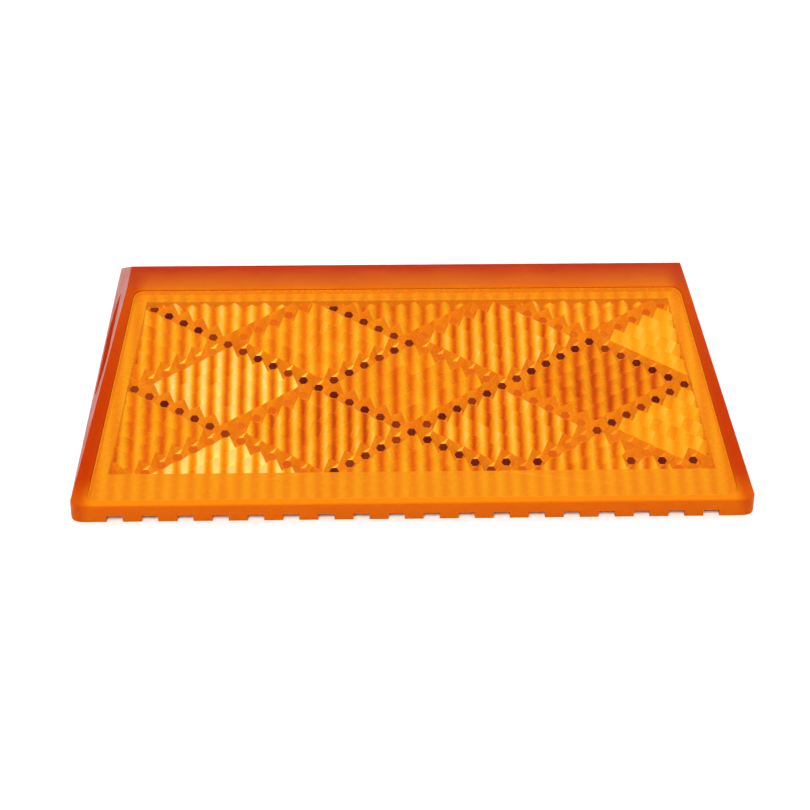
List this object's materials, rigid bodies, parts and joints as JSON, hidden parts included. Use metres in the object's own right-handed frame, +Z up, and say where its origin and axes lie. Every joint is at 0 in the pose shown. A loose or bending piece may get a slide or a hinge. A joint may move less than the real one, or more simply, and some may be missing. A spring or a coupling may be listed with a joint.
{
  "type": "raised pavement marker",
  "caption": "Two-way amber raised pavement marker: roof-shaped shell with a prismatic cellular reflective lens on each sloping face, potted core and keyed flat underside.",
  "frame": {"origin": "centre of the flat underside", "axes": "+X across the lane along the ridge, +Y along the direction of travel from the front lens to the rear lens, +Z up"},
  "size_m": [0.1016, 0.0784, 0.0206],
  "materials": {
    "shell_plastic": "translucent amber moulded plastic, satin on the sides",
    "lens_acrylic": "polished amber acrylic over reflective cube-corner prisms",
    "cell_plastic": "moulded amber plastic, matt",
    "potting": "sand-filled epoxy, rough"
  },
  "bodies": {
    "root": {"shell": "shell_plastic", "front_lens": "lens_acrylic", "rear_lens": "lens_acrylic", "front_cell_plate": "cell_plastic", "rear_cell_plate": "cell_plastic", "core_fill": "potting"}
  },
  "joints": []
}
